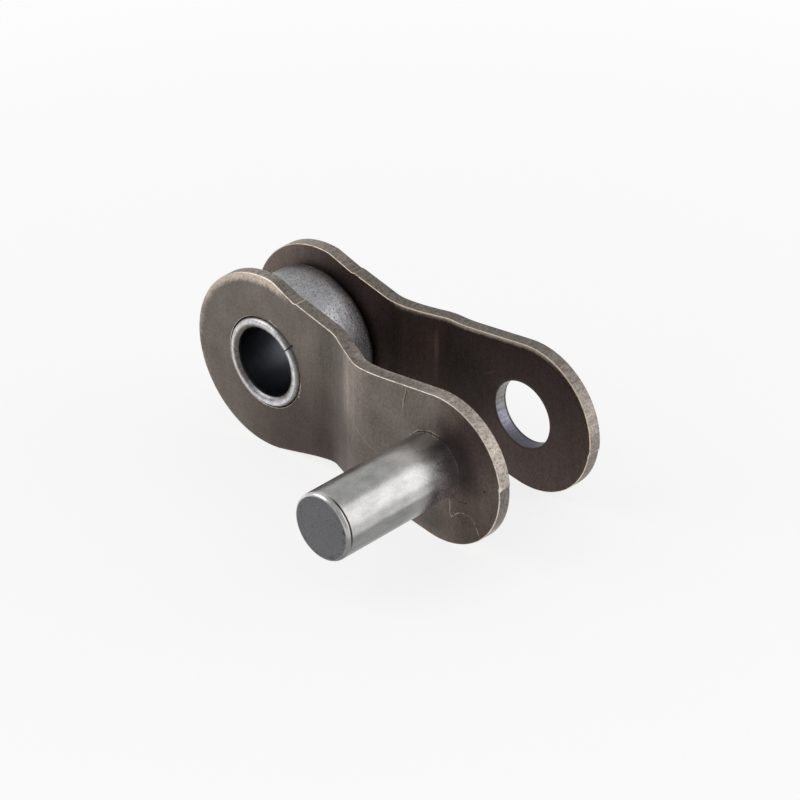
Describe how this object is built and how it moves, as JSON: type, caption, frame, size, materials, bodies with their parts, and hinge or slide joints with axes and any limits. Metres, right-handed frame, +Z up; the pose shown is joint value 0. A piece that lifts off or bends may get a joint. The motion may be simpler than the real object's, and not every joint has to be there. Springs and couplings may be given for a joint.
{
  "type": "offset chain link",
  "caption": "Offset link of a roller chain: folded side plates narrow at the bush and roller, wide at the pin, with the pin pressed part-way in.",
  "frame": {"origin": "middle of the bush, on its axis", "axes": "+X along the pitch line from the bush to the pin, +Y along the bush and the pin, away from the pin's free end, +Z up with the link on edge"},
  "size_m": [0.0219, 0.0148, 0.0096],
  "materials": {
    "plate_steel": "dark brown satin heat-treated steel with bright worn edges",
    "bush_steel": "bright tumbled steel",
    "roller_steel": "light grey speckled steel",
    "pin_steel": "ground steel"
  },
  "bodies": {
    "link": {"near_plate": "plate_steel", "far_plate": "plate_steel", "bush": "bush_steel"},
    "roller": {"roller": "roller_steel"},
    "pin": {"pin": "pin_steel"}
  },
  "joints": [
    {"name": "roller_spin", "type": "hinge", "parent": "link", "child": "roller", "pos_m": [0, 0, 0], "axis": [0, 1, 0], "continuous": true},
    {"name": "pin_drive", "type": "slide", "parent": "link", "child": "pin", "axis": [0, 1, 0], "range_m": [0, 0.00702]}
  ]
}
